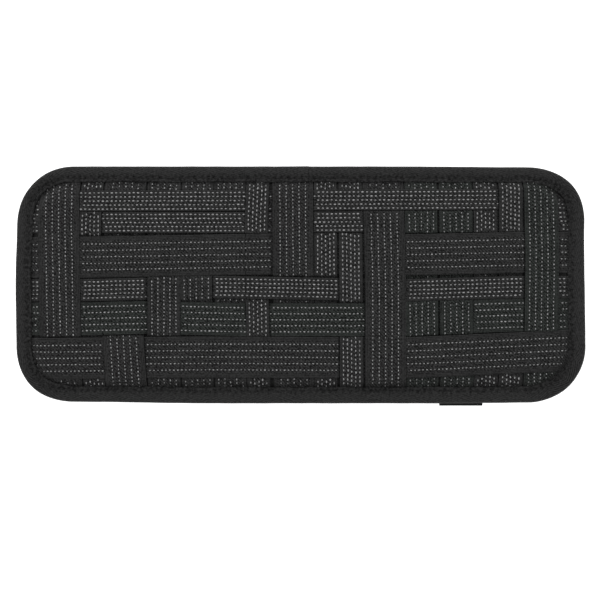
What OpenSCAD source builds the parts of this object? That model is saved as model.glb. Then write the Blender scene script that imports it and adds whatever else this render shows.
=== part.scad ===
// Flat woven-strap cable organizer with a zipped pocket in its back.
// It lies on its back: +Z is the strapped face, +X runs along the long side.
// The origin is the middle of the bounding box, on the surface it lies on.

/* [Body] */
// Length over the binding, along X
body_l = 347; // [330:1:360]
// Width over the binding, along Y
body_w = 144; // [140:1:150]
// Radius of the outer corners
corner_r = 35; // [32:1:38]

/* [Layers] */
// Thickness of the foam-backed back panel
back_t = 3.4; // [3.2:0.1:5]
// Height of the flat pocket between the back panel and its lining
pocket_h = 1.3; // [1.3:0.1:3]
// Thickness of the pocket's lining
lining_t = 0.3; // [0.2:0.05:0.6]
// Thickness of the stiffener board
board_t = 1.6; // [1:0.1:3]
// Thickness of the foam over the board
foam_t = 0.8; // [0.5:0.1:3]
// Thickness of the fabric under the straps
cover_t = 0.4; // [0.3:0.05:0.8]
// Air left between layers that lie on each other
layer_gap = 0.05; // [0.03:0.01:0.1]

/* [Binding] */
// Width of the binding tape on each face
bind_w = 9.5; // [8:0.5:10]
// Thickness of the binding tape
bind_t = 0.6; // [0.4:0.1:0.8]
// Thickness of the whole bound edge
rim_t = 4; // [3.9:0.1:4.6]
// Height of the bound edge above the surface
rim_z = 2.2; // [1.8:0.1:2.4]
// Width over which the layers slope down into the bound edge
slope_w = 4.5; // [3:0.5:4.5]

/* [Straps] */
// Thickness of the elastic
strap_t = 1; // [0.6:0.1:1.4]
// Width of a wide strap
wide = 25; // [22:0.2:25]
// Width of a medium strap
medium = 20; // [17:0.2:20]
// Width of a narrow strap
narrow = 14.2; // [10:0.2:14.2]

/* [Zip] */
// Length of the window in the back panel
window_l = 260; // [200:5:270]
// Width of the window in the back panel
window_w = 12; // [11.5:0.5:14]
// Distance of the zip above the panel's middle
zip_y = 38; // [20:1:42]
// Length of the pull, from its pin to its tip
pull_l = 18; // [16:1:24]

/* [Label] */
// Width of the plain folded label
label_w = 26.4; // [15:0.2:40]
// Distance of the label from the middle, along X
label_x = 98; // [-110:1:110]
// Length of label that shows beyond the edge
label_out = 1.8; // [1:0.1:6]

/* [Hidden] */
$fn = 96;
eps = 0.01;

// Straps, left to right and top to bottom: [centre, width]. Each is stretched a little differently.
uprights = [
    [-146.8, wide], [-127, narrow - 1], [-107.2, wide], [-83, medium], [-62.7, medium - 0.8],
    [-42.8, medium - 0.8], [-25.3, narrow - 0.2], [-4.3, wide - 0.2], [15.6, narrow - 0.4], [30.6, narrow],
    [51.4, wide - 0.2], [74.3, medium - 0.4], [95, medium + 0.2], [113, narrow + 0.2],
    [128, narrow + 0.2], [146.4, medium + 0.4]
];
crosses = [
    [51.6, narrow - 1.5], [38.3, narrow - 1.5], [18.6, wide], [-2.2, narrow - 0.6], [-20.6, medium],
    [-44.2, wide]
];

// One row for each cross strap: which strap lies on top at each upright, the upright (V) or the cross (H)
weave = [
    "VHHHHHVVHHHHHHVV",
    "VVHHHHVVHHVVVVVV",
    "VHHHHHHVVVVHHHHV",
    "VHHVVHHHHVVHHHHV",
    "VHHVHHVHHHVVVHHV",
    "HHVHHHHHHVVHHHHH"
];

// Clear length that a strap's ramp keeps from the straps beside it
ramp_gap = 0.1;

// Heights in the flat middle, from the surface up
lining_z = back_t + pocket_h;
board_z = lining_z + lining_t + layer_gap;
foam_z = board_z + board_t + layer_gap;
cover_z = foam_z + foam_t + layer_gap;
low_z = cover_z + cover_t + layer_gap;
high_z = low_z + strap_t + layer_gap;

// Heights in the bound edge, from its underside up
back_rim_z = rim_z + bind_t + layer_gap;
back_rim_t = 0.9;
lining_rim_z = back_rim_z + back_rim_t + layer_gap;
cover_rim_z = lining_rim_z + lining_t + layer_gap;
strap_rim_z = cover_rim_z + cover_t + layer_gap;
strap_rim_top = rim_z + rim_t - bind_t - layer_gap;
strap_rim_half = (strap_rim_top - strap_rim_z - layer_gap) / 2;

// Distances in from the outer edge
edge_in = rim_t / 2 + 0.1;
flat_in = bind_w + slope_w;
board_in = flat_in + 0.5;

// The label reaches past one long edge, so the panel's middle is half that far from the origin
mid_y = label_out / 2;

// Zip: coil halves, tapes and slider, as heights and as distances from the zip's centre line
coil_t = 1.1;
coil_in = 0.5;
coil_out = 3.1;
zip_tape_t = 0.4;
zip_tape_w = 13.5;
zip_tape_z = back_t + layer_gap;
coil_z = zip_tape_z - layer_gap - coil_t;
stop_l = 2.2;
slider_l = 11;
slider_w = 8.6;
plate_t = 0.6;
inner_plate_t = 0.5;
flange_t = 0.6;
divider_l = 3;
divider_w = 0.7;
outer_plate_z = coil_z - 0.15 - plate_t;
inner_plate_z = zip_tape_z + zip_tape_t + 0.1;
coil_start = -window_l / 2 + 4;
slider_x = coil_start + stop_l + 0.4 + slider_l / 2;
// The coil ends where the slider stops with its pull still inside the window
slider_end_x = window_l / 2 - pull_l - 1.5;
coil_end = slider_end_x + slider_l / 2 + 0.4;
crown_w = 2;
crown_l = 6;
crown_post = 0.8;
crown_z = 0.3;
crown_bar_t = 0.45;
pin_r = 0.3;
pin_z = outer_plate_z - 0.1 - pin_r;
pin_l = 5;
pull_w = 6;
pull_shoulder_x = 4.5;
pull_tip_r = 1.5;
pull_hole_l = 3.8;
pull_hole_w = 2.8;
pull_tip_hole_r = 1.2;
pull_tip_hole_in = 4;

upright_names = [for (i = [0 : len(uprights) - 1]) str("upright_strap_", i < 9 ? "0" : "", i + 1)];
cross_names = [for (j = [0 : len(crosses) - 1]) str("cross_strap_", j + 1)];

black = "#2b2b2b";
dark = "#222222";

// ---- Outline and layer helpers ----

// Puts its children at the panel's middle
module at_mid() { translate([0, mid_y, 0]) children(); }

// Puts its children at each centre of the corner rounds
module at_corners() {
    for (x = [-1, 1], y = [-1, 1])
        translate([x * (body_l / 2 - corner_r), y * (body_w / 2 - corner_r), 0]) children();
}

// Rectangle with round corners, about the origin
module rounded_rect(l, w, r) {
    square([l - 2 * r, w], center = true);
    square([l, w - 2 * r], center = true);
    for (x = [-1, 1], y = [-1, 1]) translate([x * (l / 2 - r), y * (w / 2 - r)]) circle(r);
}

// The panel's outline, a distance in from its outer edge
module outline(inset) { rounded_rect(body_l - 2 * inset, body_w - 2 * inset, corner_r - inset); }

// Slab of the outline between two heights
module slab(inset, z0, z1) { translate([0, 0, z0]) linear_extrude(z1 - z0) outline(inset); }

// Trapezium across half-width a at height z0 and half-width b at z1, extruded l along the third axis
module trapezoid_bar(a, b, z0, z1, l) {
    rotate([90, 0, 90]) linear_extrude(l, center = true) polygon([[-a, z0], [a, z0], [b, z1], [-b, z1]]);
}

// Solid whose outline is bind_w in from the edge at z0 and flat_in at z1, where z1 may be the lower
module frustum(z0, z1) {
    low = min(z0, z1);
    r_rim = corner_r - bind_w;
    r_flat = corner_r - flat_in;
    at_corners() translate([0, 0, low])
        cylinder(h = abs(z1 - z0), r1 = z1 > z0 ? r_rim : r_flat, r2 = z1 > z0 ? r_flat : r_rim);
    trapezoid_bar(body_w / 2 - bind_w, body_w / 2 - flat_in, z0, z1, body_l - 2 * corner_r);
    rotate([0, 0, 90])
        trapezoid_bar(body_l / 2 - bind_w, body_l / 2 - flat_in, z0, z1, body_w - 2 * corner_r);
}

// Everything below a surface that lies at rim_h over the bound edge and slopes to mid_h in the middle
module below(rim_h, mid_h) {
    base_z = -2;
    if (mid_h > rim_h) {
        slab(edge_in, base_z, rim_h);
        frustum(rim_h, mid_h);
    } else difference() {
        slab(edge_in, base_z, rim_h);
        frustum(rim_h, mid_h);
        translate([0, 0, rim_h - eps / 2]) slab(bind_w, 0, eps);
    }
}

// A layer of fabric: its lower and upper heights over the bound edge, then in the middle
module layer(rim_lo, rim_hi, mid_lo, mid_hi) {
    difference() {
        below(rim_hi, mid_hi);
        below(rim_lo, mid_lo);
        translate([0, 0, -3]) slab(0, 0, min(rim_lo, mid_lo) + 3);
    }
}

// ---- Body pieces ----

// Cross-section of the folded tape: x is the distance in from the outer edge
module binding_section() {
    r = rim_t / 2;
    difference() {
        translate([0, rim_z]) union() {
            translate([r, r]) circle(r);
            translate([r, 0]) square([bind_w - r, rim_t]);
        }
        translate([0, rim_z]) union() {
            translate([r, r]) circle(r - bind_t);
            translate([r, bind_t]) square([bind_w, rim_t - 2 * bind_t]);
        }
    }
}

module binding_side(l) {
    rotate([90, 0, 90]) linear_extrude(l, center = true) binding_section();
}

module binding_corner() {
    rotate_extrude(angle = 90) translate([corner_r, 0]) mirror([1, 0]) binding_section();
}

module binding_tape() color(black) at_mid() {
    for (turn = [0, 180]) rotate([0, 0, turn]) {
        translate([0, -body_w / 2, 0]) binding_side(body_l - 2 * corner_r);
        translate([body_l / 2, 0, 0]) rotate([0, 0, 90]) binding_side(body_w - 2 * corner_r);
        translate([body_l / 2 - corner_r, body_w / 2 - corner_r, 0]) binding_corner();
        translate([-body_l / 2 + corner_r, body_w / 2 - corner_r, 0]) rotate([0, 0, 90]) binding_corner();
    }
}

module front_cover() color(dark) at_mid()
    layer(cover_rim_z, cover_rim_z + cover_t, cover_z, cover_z + cover_t);

module foam_pad() color("dimgray") at_mid() slab(board_in, foam_z, foam_z + foam_t);

module stiffener_board() color("gray") at_mid() slab(board_in, board_z, board_z + board_t);

module pocket_lining() color(dark) at_mid()
    layer(lining_rim_z, lining_rim_z + lining_t, lining_z, lining_z + lining_t);

module back_panel() color(black) at_mid() difference() {
    layer(back_rim_z, back_rim_z + back_rim_t, 0, back_t);
    translate([0, zip_y, -1]) linear_extrude(back_t + 2) rounded_rect(window_l, window_w, 1.5);
}

// Tape folded in two, sewn to the back of the lower edge, with its fold outermost
module label_tab() color(black) at_mid() {
    ply = 0.4;
    fold_r = ply + layer_gap;
    top_z = rim_z - layer_gap;
    reach = bind_w + label_out;
    translate([label_x - label_w / 2, -body_w / 2 - label_out, top_z - 2 * fold_r])
        rotate([90, 0, 90]) linear_extrude(label_w) difference() {
            union() {
                translate([fold_r, fold_r]) circle(fold_r);
                translate([fold_r, 0]) square([reach - fold_r, 2 * fold_r]);
            }
            translate([fold_r, ply]) square([reach, 2 * layer_gap]);
        }
}

// ---- Zip ----

// Puts its children on the zip's centre line, and on its other side when side is -1
module at_zip(side = 1) {
    translate([0, mid_y + zip_y, 0]) if (side > 0) children(); else mirror([0, 1, 0]) children();
}

// Half of the zip's tape, on the +Y side
module zip_tape() color(dark)
    translate([-window_l / 2 - 5, coil_in, zip_tape_z]) cube([window_l + 10, zip_tape_w, zip_tape_t]);

// Half of the zip's coil, as one bar with a round outer edge
module zip_coil() color(black)
    translate([coil_start, 0, coil_z]) rotate([90, 0, 90]) linear_extrude(coil_end - coil_start) {
        translate([coil_out - coil_t / 2, coil_t / 2]) circle(coil_t / 2);
        translate([coil_in, 0]) square([coil_out - coil_t / 2 - coil_in, coil_t]);
    }

// A stop on each coil half at the closed end, and one across both halves at the open end
module zip_end_stops() color("dimgray") at_zip() {
    stop_z = coil_z - 0.1;
    stop_t = coil_t + 0.1;
    for (y = [coil_in + 0.1, -coil_out]) translate([coil_start - stop_l - 0.1, y, stop_z])
        cube([stop_l, coil_out - coil_in - 0.1, stop_t]);
    translate([coil_end + 0.1, -coil_out, stop_z]) cube([stop_l, 2 * coil_out, stop_t]);
}

// Plan of the slider's plates: its nose points along -X
module slider_plan(w) {
    nose = 2.5;
    tail_in = 0.7;
    polygon([
        [-slider_l / 2, -w / 2 + nose / 2], [-slider_l / 2 + nose, -w / 2], [slider_l / 2, -w / 2 + tail_in],
        [slider_l / 2, w / 2 - tail_in], [-slider_l / 2 + nose, w / 2], [-slider_l / 2, w / 2 - nose / 2]
    ]);
}

module zip_slider() color("gray") at_zip() translate([slider_x, 0, 0]) {
    flange_y = coil_out + 0.2;
    flange_z = outer_plate_z + plate_t - eps;
    flange_start = 2.8;
    flange_end = 2;
    divider_start = 0.8;
    translate([0, 0, outer_plate_z]) linear_extrude(plate_t) slider_plan(slider_w);
    translate([0, 0, inner_plate_z]) linear_extrude(inner_plate_t) slider_plan(slider_w - 1);
    // side flanges, which keep the coil between the plates
    for (y = [-flange_y - flange_t, flange_y]) translate([-slider_l / 2 + flange_start, y, flange_z])
        cube([slider_l - flange_start - flange_end, flange_t, zip_tape_z - 0.15 - flange_z]);
    // divider post between the coil halves, which also joins the two plates
    translate([-slider_l / 2 + divider_start, -divider_w / 2, outer_plate_z + plate_t / 2])
        cube([divider_l, divider_w, inner_plate_z - outer_plate_z]);
    // crown that holds the pull's pin
    difference() {
        translate([-crown_l / 2, -crown_w / 2, crown_z]) cube([crown_l, crown_w, outer_plate_z - crown_z + eps]);
        translate([-crown_l / 2 + crown_post, -crown_w / 2 - 1, crown_z + crown_bar_t])
            cube([crown_l - 2 * crown_post, crown_w + 2, outer_plate_z - crown_z - crown_bar_t]);
    }
}

// The pull lies along +X from its pin, which turns in the slider's crown
module zip_pull() color("gray") at_zip() translate([slider_x, 0, pin_z]) difference() {
    union() {
        translate([0, 0, -pin_r]) linear_extrude(2 * pin_r) {
            translate([0, -pin_l / 2]) square([pull_l - pull_tip_r, pin_l]);
            translate([(pull_shoulder_x + pull_l) / 2, 0])
                rounded_rect(pull_l - pull_shoulder_x, pull_w, pull_tip_r);
        }
        rotate([90, 0, 0]) cylinder(h = pin_l, r = pin_r, center = true);
    }
    // opening that the crown passes through, and the round hole near the tip
    translate([pin_r, -pull_hole_w / 2, -1]) cube([pull_hole_l - pin_r, pull_hole_w, 2]);
    translate([pull_l - pull_tip_hole_in, 0, -1]) cylinder(h = 2, r = pull_tip_hole_r);
}

// ---- Straps ----

function level(over) = over ? high_z : low_z;

// Lower line of a strap as [distance along it, height], with a ramp wherever two neighbouring crossings differ
function strap_line(cross, over, flat) = concat(
    [[-flat, level(over[0])]],
    [for (k = [0 : len(cross) - 2]) if (over[k] != over[k + 1]) each [
        [cross[k][0] + cross[k][1] / 2 + ramp_gap, level(over[k])],
        [cross[k + 1][0] - cross[k + 1][1] / 2 - ramp_gap, level(over[k + 1])]
    ]],
    [[flat, level(over[len(over) - 1])]]
);

function reversed(list) = [for (k = [len(list) - 1 : -1 : 0]) list[k]];
function raised(list, h) = [for (p = list) [p[0], p[1] + h]];

// A strap along X about y = 0: half is the distance from the middle to the outer edge
module straight_strap(cross, over, half, w) {
    ends_lo = [[half - bind_w, strap_rim_z], [half - edge_in, strap_rim_z]];
    ends_hi = [[half - bind_w, strap_rim_top], [half - edge_in, strap_rim_top]];
    line = strap_line(cross, over, half - flat_in);
    lower = concat(reversed([for (p = ends_lo) [-p[0], p[1]]]), line, ends_lo);
    upper = concat(reversed([for (p = ends_hi) [-p[0], p[1]]]), raised(line, strap_t), ends_hi);
    rotate([90, 0, 0]) linear_extrude(w, center = true) polygon(concat(lower, reversed(upper)));
}

// The level part of a strap that runs into the corner rounds, which strap_end() continues
module corner_strap(cross, over, half, w) {
    line = strap_line(cross, over, half - corner_r);
    rotate([90, 0, 0]) linear_extrude(w, center = true) polygon(concat(line, reversed(raised(line, strap_t))));
}

// The end of a strap in the corner rounds: it follows the slope, in the upper or the lower half of the edge
module strap_end(x0, x1, y0, y1, over) {
    rim_lo = over ? strap_rim_top - strap_rim_half : strap_rim_z;
    intersection() {
        layer(rim_lo, rim_lo + strap_rim_half, level(over), level(over) + strap_t);
        translate([x0, y0, 0]) cube([x1 - x0, y1 - y0, high_z + 2 * strap_t]);
    }
}

module upright_strap(i) color(black) at_mid() {
    x = uprights[i][0];
    w = uprights[i][1];
    cross = reversed(crosses);
    over = reversed([for (row = weave) row[i] == "V"]);
    flat = body_w / 2 - corner_r;
    if (abs(x) + w / 2 < body_l / 2 - corner_r)
        translate([x, 0, 0]) rotate([0, 0, 90]) straight_strap(cross, over, body_w / 2, w);
    else {
        translate([x, 0, 0]) rotate([0, 0, 90]) corner_strap(cross, over, body_w / 2, w);
        strap_end(x - w / 2, x + w / 2, flat, body_w / 2, over[len(over) - 1]);
        strap_end(x - w / 2, x + w / 2, -body_w / 2, -flat, over[0]);
    }
}

module cross_strap(j) color(black) at_mid() {
    y = crosses[j][0];
    w = crosses[j][1];
    over = [for (i = [0 : len(uprights) - 1]) weave[j][i] == "H"];
    flat = body_l / 2 - corner_r;
    if (abs(y) + w / 2 < body_w / 2 - corner_r)
        translate([0, y, 0]) straight_strap(uprights, over, body_l / 2, w);
    else {
        translate([0, y, 0]) corner_strap(uprights, over, body_l / 2, w);
        strap_end(flat, body_l / 2, y - w / 2, y + w / 2, over[len(over) - 1]);
        strap_end(-body_l / 2, -flat, y - w / 2, y + w / 2, over[0]);
    }
}

binding_tape();
front_cover();
foam_pad();
stiffener_board();
pocket_lining();
back_panel();
label_tab();
at_zip() zip_tape();  // zip_tape_upper
at_zip(-1) zip_tape();  // zip_tape_lower
at_zip() zip_coil();  // zip_coil_upper
at_zip(-1) zip_coil();  // zip_coil_lower
zip_end_stops();
zip_slider();
zip_pull();
for (i = [0 : len(uprights) - 1]) upright_strap(i);
for (j = [0 : len(crosses) - 1]) cross_strap(j);
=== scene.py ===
"""Looks of the woven-strap cable organizer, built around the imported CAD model.

Lengths are in millimetres until a mesh is made. Points are measured from the middle of the panel's outline,
with z measured up from the surface that the organizer lies on.
"""
import math

import bmesh
import bpy
import numpy as np
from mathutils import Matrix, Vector


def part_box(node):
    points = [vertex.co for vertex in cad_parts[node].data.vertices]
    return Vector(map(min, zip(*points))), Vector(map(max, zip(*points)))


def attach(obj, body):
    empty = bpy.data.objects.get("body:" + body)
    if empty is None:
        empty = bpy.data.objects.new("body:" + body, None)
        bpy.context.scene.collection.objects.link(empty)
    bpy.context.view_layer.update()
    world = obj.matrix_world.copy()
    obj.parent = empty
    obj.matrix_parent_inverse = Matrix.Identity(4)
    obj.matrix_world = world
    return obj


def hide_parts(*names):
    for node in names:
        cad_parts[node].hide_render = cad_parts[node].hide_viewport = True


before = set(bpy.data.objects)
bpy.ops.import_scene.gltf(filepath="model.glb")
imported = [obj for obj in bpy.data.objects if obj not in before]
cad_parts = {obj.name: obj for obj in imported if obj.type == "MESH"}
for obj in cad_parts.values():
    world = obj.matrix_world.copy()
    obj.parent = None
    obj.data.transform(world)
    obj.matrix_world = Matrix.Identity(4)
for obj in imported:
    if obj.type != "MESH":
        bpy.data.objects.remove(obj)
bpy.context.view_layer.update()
rng = np.random.default_rng(7)
MM = 0.001

# ---- Driving sizes, from the frame ----

rim_lo, rim_hi = (np.array(corner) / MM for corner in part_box("binding_tape"))
MID_Y = (rim_hi + rim_lo)[1] / 2


def cad_box_mm(node):
    """A node's lowest and highest corners in millimetres, about the panel's middle."""
    return tuple(np.array(corner) / MM - (0, MID_Y, 0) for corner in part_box(node))


HALF_L, HALF_W = (rim_hi - rim_lo)[:2] / 2
CORNER_R = 35.0
RIM_R = (rim_hi - rim_lo)[2] / 2
RIM_MID_Z = (rim_hi + rim_lo)[2] / 2

BIND_W = 9.5
SLOPE_W = 4.5
FLAT_IN = BIND_W + SLOPE_W
EDGE_IN = 2.4
TAPE_T = 0.6
COVER_T, LINING_T = 0.4, 0.3
# The back panel's thickness in the middle and in the bound edge
BACK_T, BACK_RIM_T = 3.4, 0.9

COVER_TOP = cad_box_mm("front_cover")[1][2]
STRAP_T = 0.93
LEVEL_STEP = 1.05
LOW_Z = COVER_TOP + 0.05
STRAP_RIM_Z = RIM_MID_Z + 0.42
STRAP_RIM_T = 0.88
HALF_RIM_STEP = 0.5
HALF_RIM_T = 0.43

UPRIGHTS = [f"upright_strap_{i:02d}" for i in range(1, 17)]
CROSSES = [f"cross_strap_{j}" for j in range(1, 7)]

# One row for each cross strap, top to bottom: which strap lies on top at each upright, left to right
WEAVE = [
    "VHHHHHVVHHHHHHVV",
    "VVHHHHVVHHVVVVVV",
    "VHHHHHHVVVVHHHHV",
    "VHHVVHHHHVVHHHHV",
    "VHHVHHVHHHVVVHHV",
    "HHVHHHHHHVVHHHHH",
]
# The elastic wanders a little to each side: (distance along the strap, centre line), to half a millimetre
UPRIGHT_RUNS = [
    [(60, -146.5), (38, -147), (-20, -146), (-60, -145.5)],
    [(60, -126.5), (36, -128), (-60, -125.5)],
    [(60, -106.5), (-30, -108), (-60, -106)],
    [(60, -83), (-60, -83)],
    [(60, -62.5), (0, -63.5), (-60, -62.5)],
    [(60, -43), (-60, -42.5)],
    [(60, -26), (38, -27), (-60, -25.5)],
    [(60, -5), (-60, -4)],
    [(60, 15), (-60, 15.5)],
    [(60, 30), (-60, 31)],
    [(60, 50), (0, 51.5), (-60, 51.5)],
    [(60, 73), (-60, 74)],
    [(60, 94), (-60, 95)],
    [(60, 112), (-60, 112.5)],
    [(60, 127.5), (-60, 127.5)],
    [(60, 145.5), (20, 146.5), (-60, 145.5)],
]
CROSS_RUNS = [
    [(-132, 50.5), (116, 51.5)],
    [(-107, 37.5), (-43, 37.5), (130, 38.5)],
    [(-132, 16.5), (-19, 18.5), (65, 18), (135, 19.5)],
    [(-132, -3.5), (-52, -1.5), (65, -3.5), (134, -1.5)],
    [(-134, -21), (-96, -20), (-35, -21.5), (37, -21.5), (135, -18.5)],
    [(-156, -45), (-62, -44), (65, -44.5), (163, -40)],
]
# Straps whose elastic looks a touch greener
GREENISH = {"upright_strap_12", "upright_strap_13", "upright_strap_16", "cross_strap_5"}


# ---- Small geometry helpers ----

def lerp(a, b, k):
    return a + (b - a) * k


def ease(k):
    k = np.clip(k, 0, 1)
    return k * k * (3 - 2 * k)


def inset(x, y):
    """Distance in from the panel's outer edge."""
    qx = np.abs(x) - (HALF_L - CORNER_R)
    qy = np.abs(y) - (HALF_W - CORNER_R)
    out = np.hypot(np.maximum(qx, 0), np.maximum(qy, 0)) + np.minimum(np.maximum(qx, qy), 0)
    return CORNER_R - out


def grid_faces(rows, cols, wrap_rows=False, wrap_cols=False):
    """Quads of a grid of points that are numbered row by row."""
    i = np.arange(rows if wrap_rows else rows - 1)
    j = np.arange(cols if wrap_cols else cols - 1)
    i, j = np.meshgrid(i, j, indexing="ij")
    i2, j2 = (i + 1) % rows, (j + 1) % cols
    quads = np.stack([i * cols + j, i * cols + j2, i2 * cols + j2, i2 * cols + j], -1)
    return quads.reshape(-1, 4).tolist()


def capped_grid(rings):
    """Faces of a stack of closed rings, with a cap on the first and the last."""
    rows, cols = rings.shape[:2]
    caps = [list(range(cols)), list(range((rows - 1) * cols, rows * cols))]
    return grid_faces(rows, cols, wrap_cols=True) + caps


def capped_quads(rings):
    """Faces of a folded strip: a grid with both ends closed by quads between its outside and inside."""
    rows, cols = rings.shape[:2]
    faces = grid_faces(rows, cols, wrap_cols=True)
    for row in (0, rows - 1):
        for c in range(cols // 2 - 1):
            faces.append([row * cols + k for k in (c, c + 1, cols - 2 - c, cols - 1 - c)])
    return faces


def sweep(path, section, axis):
    """Carries a section along a path: its first coordinate is along axis, its second square to that."""
    path, section = np.asarray(path, float), np.asarray(section, float)
    ahead = np.gradient(path, axis=0)
    ahead /= np.linalg.norm(ahead, axis=1, keepdims=True)
    u = axis - ahead * (ahead @ np.asarray(axis, float))[:, None]
    u /= np.linalg.norm(u, axis=1, keepdims=True)
    v = np.cross(ahead, u)
    rings = path[:, None] + section[None, :, :1] * u[:, None] + section[None, :, 1:] * v[:, None]
    return rings.reshape(-1, 3), capped_grid(rings)


def circle(radius, sides):
    angles = np.arange(sides) * 2 * math.pi / sides
    return np.stack([np.cos(angles), np.sin(angles)], -1) * radius


def round_box_loop(half_l, half_w, r, middle=(0, 0), counts=(130, 50, 20)):
    """Points round a rectangle with round corners, anticlockwise from the top edge's right end.

    counts gives the points on a long side, a short side and an arc, whatever its size."""
    signs = [(1, 1), (-1, 1), (-1, -1), (1, -1)]
    points = []
    for k in range(4):
        start, stop = (np.array(signs[j % 4]) * (half_l - r, half_w - r) for j in (k, k + 1))
        side, arc = counts[k % 2], counts[2]
        turn = math.pi / 2 * (k + 1)
        for share in np.arange(side) / side:
            points.append(lerp(start, stop, share) + r * np.array((math.cos(turn), math.sin(turn))))
        for share in np.arange(arc) / arc:
            angle = turn + share * math.pi / 2
            points.append(stop + r * np.array((math.cos(angle), math.sin(angle))))
    return np.array(points) + middle


def smooth_loop(points, steps=6):
    """A closed curve through the points."""
    p = np.asarray(points, float)
    before, after, next_after = np.roll(p, 1, 0), np.roll(p, -1, 0), np.roll(p, -2, 0)
    out = []
    for t in np.arange(steps) / steps:
        out.append(0.5 * (2 * p + (after - before) * t + (2 * before - 5 * p + 4 * after - next_after) * t**2
                          + (3 * p - before - 3 * after + next_after) * t**3))
    return np.stack(out, 1).reshape(-1, 2)


def plate(loops, thickness, middle, round_edge):
    """A flat plate with rounded edges. Loops after the first are holes, and (0, 0, 0) goes to middle."""
    curve = bpy.data.curves.new("plate", "CURVE")
    curve.dimensions = "2D"
    curve.fill_mode = "BOTH"
    curve.extrude = thickness / 2 - round_edge
    curve.bevel_depth = round_edge
    curve.bevel_resolution = 2
    curve.offset = -round_edge
    for loop in loops:
        spline = curve.splines.new("POLY")
        spline.points.add(len(loop) - 1)
        spline.use_cyclic_u = True
        for point, (x, y) in zip(spline.points, loop):
            point.co = (x, y, 0, 1)
    holder = bpy.data.objects.new("plate", curve)
    mesh = bpy.data.meshes.new_from_object(holder)
    verts = np.array([v.co for v in mesh.vertices]) + middle
    faces = [list(f.vertices) for f in mesh.polygons]
    bpy.data.objects.remove(holder)
    bpy.data.curves.remove(curve)
    bpy.data.meshes.remove(mesh)
    return verts, faces


def link_object(name, data):
    made = bpy.data.objects.new(name, data)
    bpy.context.collection.objects.link(made)
    return made


def add_piece(name, verts, faces, material, body="organizer", replaces=(), coords=None, weld=False):
    """Makes a mesh from points in millimetres about the panel's middle, and puts it on a body.

    coords gives each point a position on the unrolled fabric, which the weave patterns read.
    """
    points = np.asarray(verts, float).reshape(-1, 3)
    points = (points + (0, MID_Y, 0)) * MM
    mesh = bpy.data.meshes.new(name)
    mesh.from_pydata(points.tolist(), [], faces)
    if coords is not None:
        layer = mesh.attributes.new("fabric", "FLOAT_VECTOR", "POINT")
        coords = np.asarray(coords, float)
        flat = np.zeros((len(points), 4))
        flat[:, :coords.shape[-1]] = coords.reshape(len(points), -1)
        layer.data.foreach_set("vector", flat[:, :3].ravel())
        margin = mesh.attributes.new("margin", "FLOAT", "POINT")
        margin.data.foreach_set("value", flat[:, 3].copy())
    bm = bmesh.new()
    bm.from_mesh(mesh)
    if weld:
        bmesh.ops.remove_doubles(bm, verts=bm.verts, dist=0.001 * MM)
    bmesh.ops.recalc_face_normals(bm, faces=bm.faces)
    bm.to_mesh(mesh)
    bm.free()
    mesh.polygons.foreach_set("use_smooth", [True] * len(mesh.polygons))
    mesh.materials.append(material)
    piece = link_object(name, mesh)
    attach(piece, body)
    if replaces:
        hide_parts(*replaces)
    return piece


def join_parts(parts):
    """Joins (points, faces) pairs into one pair."""
    verts, faces, start = [], [], 0
    for part_verts, part_faces in parts:
        part_verts = np.asarray(part_verts, float).reshape(-1, 3)
        verts.append(part_verts)
        faces += [[k + start for k in f] for f in part_faces]
        start += len(part_verts)
    return np.concatenate(verts), faces


def repeated(faces, size, count):
    """Faces of several copies of a shape that has size points."""
    return [[d * size + k for k in face] for d in range(count) for face in faces]


def scatter(shape, places, along, across, up):
    """Copies a small shape, a (points, faces) pair, to many places, each with its own axes."""
    points, faces = shape
    x, y, z = points[None, :, 0, None], points[None, :, 1, None], points[None, :, 2, None]
    copies = places[:, None] + x * along[:, None] + y * across[:, None] + z * up[:, None]
    return copies.reshape(-1, 3), repeated(faces, len(points), len(places))


# ---- Materials ----

# The binding's stitches lie this far in from the tape's inner edge, with this pitch and this gap
STITCH_IN = 2.4
STITCH_PITCH, STITCH_GAP = 4.1, 0.9


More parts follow.
